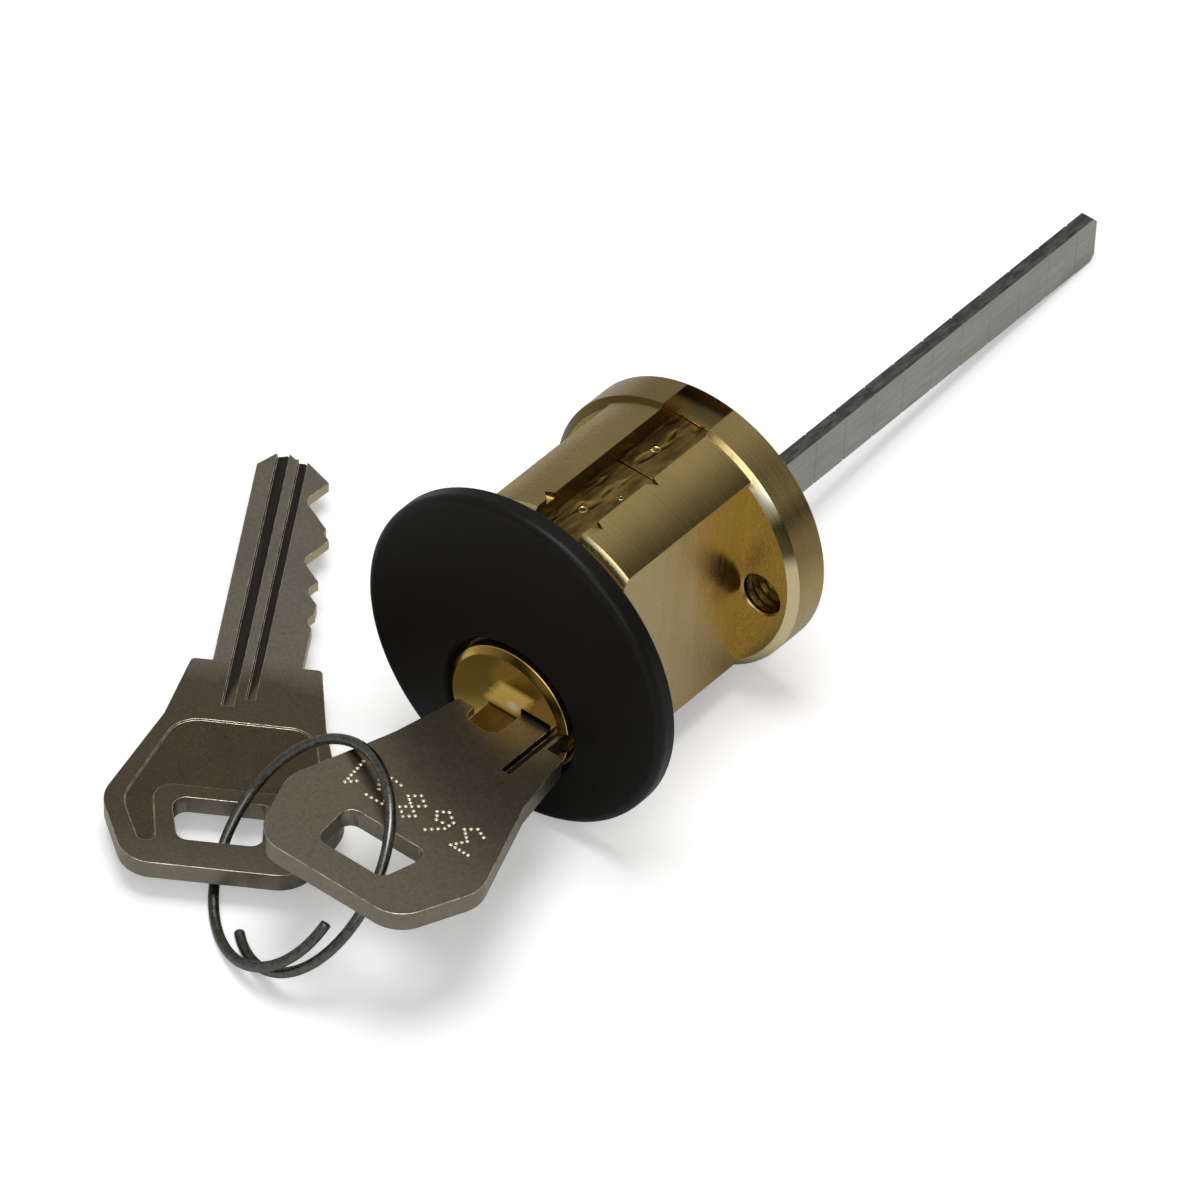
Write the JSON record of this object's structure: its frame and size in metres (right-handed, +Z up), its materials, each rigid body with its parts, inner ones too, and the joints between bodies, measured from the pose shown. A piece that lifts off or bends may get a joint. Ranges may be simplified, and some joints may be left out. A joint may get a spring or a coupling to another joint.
{
  "type": "rim cylinder lock",
  "caption": "Round rim cylinder lock: black flange, brass body with side flats and tapped holes, turning plug with its key, snap-off tail bar, wire ring with a spare key.",
  "frame": {"origin": "on the barrel's axis, in the back face of the flange, the face that lies against the door", "axes": "+Y from the key side to the tail bar along the barrel's axis, +Z up toward the pin chambers and their cover strips, +X to the right as seen from the key side"},
  "size_m": [0.0598, 0.1192, 0.0372],
  "materials": {
    "flange_black": "satin black electroplate or lacquer, rounded rim",
    "body_brass": "turned and milled, satin",
    "cover_brass": "plain rolled strip, dull",
    "plug_brass": "turned, bright chamfer",
    "pin_brass": "turned",
    "spring_steel": "drawn wire",
    "clip_steel": "stamped, dull",
    "tail_steel": "plain zinc, dull, with cut grooves",
    "key_nickel": "nickel silver, tumbled",
    "ring_steel": "drawn wire, bright"
  },
  "bodies": {
    "root": {"flange": "flange_black", "cylinder_body": "body_brass", "cover_front": "cover_brass", "cover_rear": "cover_brass", "pin_spring_1": "spring_steel", "pin_spring_2": "spring_steel", "pin_spring_3": "spring_steel", "pin_spring_4": "spring_steel", "pin_spring_5": "spring_steel"},
    "plug_body": {"plug": "plug_brass", "plug_clip": "clip_steel", "tail_rivet": "clip_steel", "key": "key_nickel", "key_pin_1": "pin_brass", "key_pin_2": "pin_brass", "key_pin_3": "pin_brass", "key_pin_4": "pin_brass", "key_pin_5": "pin_brass"},
    "tail": {"tail_bar": "tail_steel"},
    "ring": {"key_ring": "ring_steel"},
    "spare": {"spare_key": "key_nickel"},
    "driver_1": {"driver_pin_1": "pin_brass"},
    "driver_2": {"driver_pin_2": "pin_brass"},
    "driver_3": {"driver_pin_3": "pin_brass"},
    "driver_4": {"driver_pin_4": "pin_brass"},
    "driver_5": {"driver_pin_5": "pin_brass"}
  },
  "joints": [
    {"name": "plug_turn", "type": "hinge", "parent": "root", "child": "plug_body", "pos_m": [0, 0, -0.00585], "axis": [0, 1, 0], "continuous": true},
    {"name": "tail_swing", "type": "hinge", "parent": "plug_body", "child": "tail", "pos_m": [-0.0009, 0.0282, -0.00585], "axis": [1, 0, 0], "range_deg": [-3, 3]},
    {"name": "ring_swing", "type": "hinge", "parent": "plug_body", "child": "ring", "pos_m": [0, -0.02905, -0.00585], "axis": [0.9207, 0, 0.3903], "range_deg": [0, 40]},
    {"name": "spare_swing", "type": "hinge", "parent": "ring", "child": "spare", "pos_m": [-0.0159, -0.0219, -0.0148], "axis": [0, 0, 1], "range_deg": [-3, 45]},
    {"name": "driver_1_lift", "type": "slide", "parent": "root", "child": "driver_1", "axis": [0, 0, 1], "range_m": [0, 0.003], "stiffness_N_per_m": 60, "springref_m": -0.004, "deforming": ["pin_spring_1"]},
    {"name": "driver_2_lift", "type": "slide", "parent": "root", "child": "driver_2", "axis": [0, 0, 1], "range_m": [0, 0.003], "stiffness_N_per_m": 60, "springref_m": -0.004, "deforming": ["pin_spring_2"]},
    {"name": "driver_3_lift", "type": "slide", "parent": "root", "child": "driver_3", "axis": [0, 0, 1], "range_m": [0, 0.003], "stiffness_N_per_m": 60, "springref_m": -0.004, "deforming": ["pin_spring_3"]},
    {"name": "driver_4_lift", "type": "slide", "parent": "root", "child": "driver_4", "axis": [0, 0, 1], "range_m": [0, 0.003], "stiffness_N_per_m": 60, "springref_m": -0.004, "deforming": ["pin_spring_4"]},
    {"name": "driver_5_lift", "type": "slide", "parent": "root", "child": "driver_5", "axis": [0, 0, 1], "range_m": [0, 0.003], "stiffness_N_per_m": 60, "springref_m": -0.004, "deforming": ["pin_spring_5"]}
  ]
}
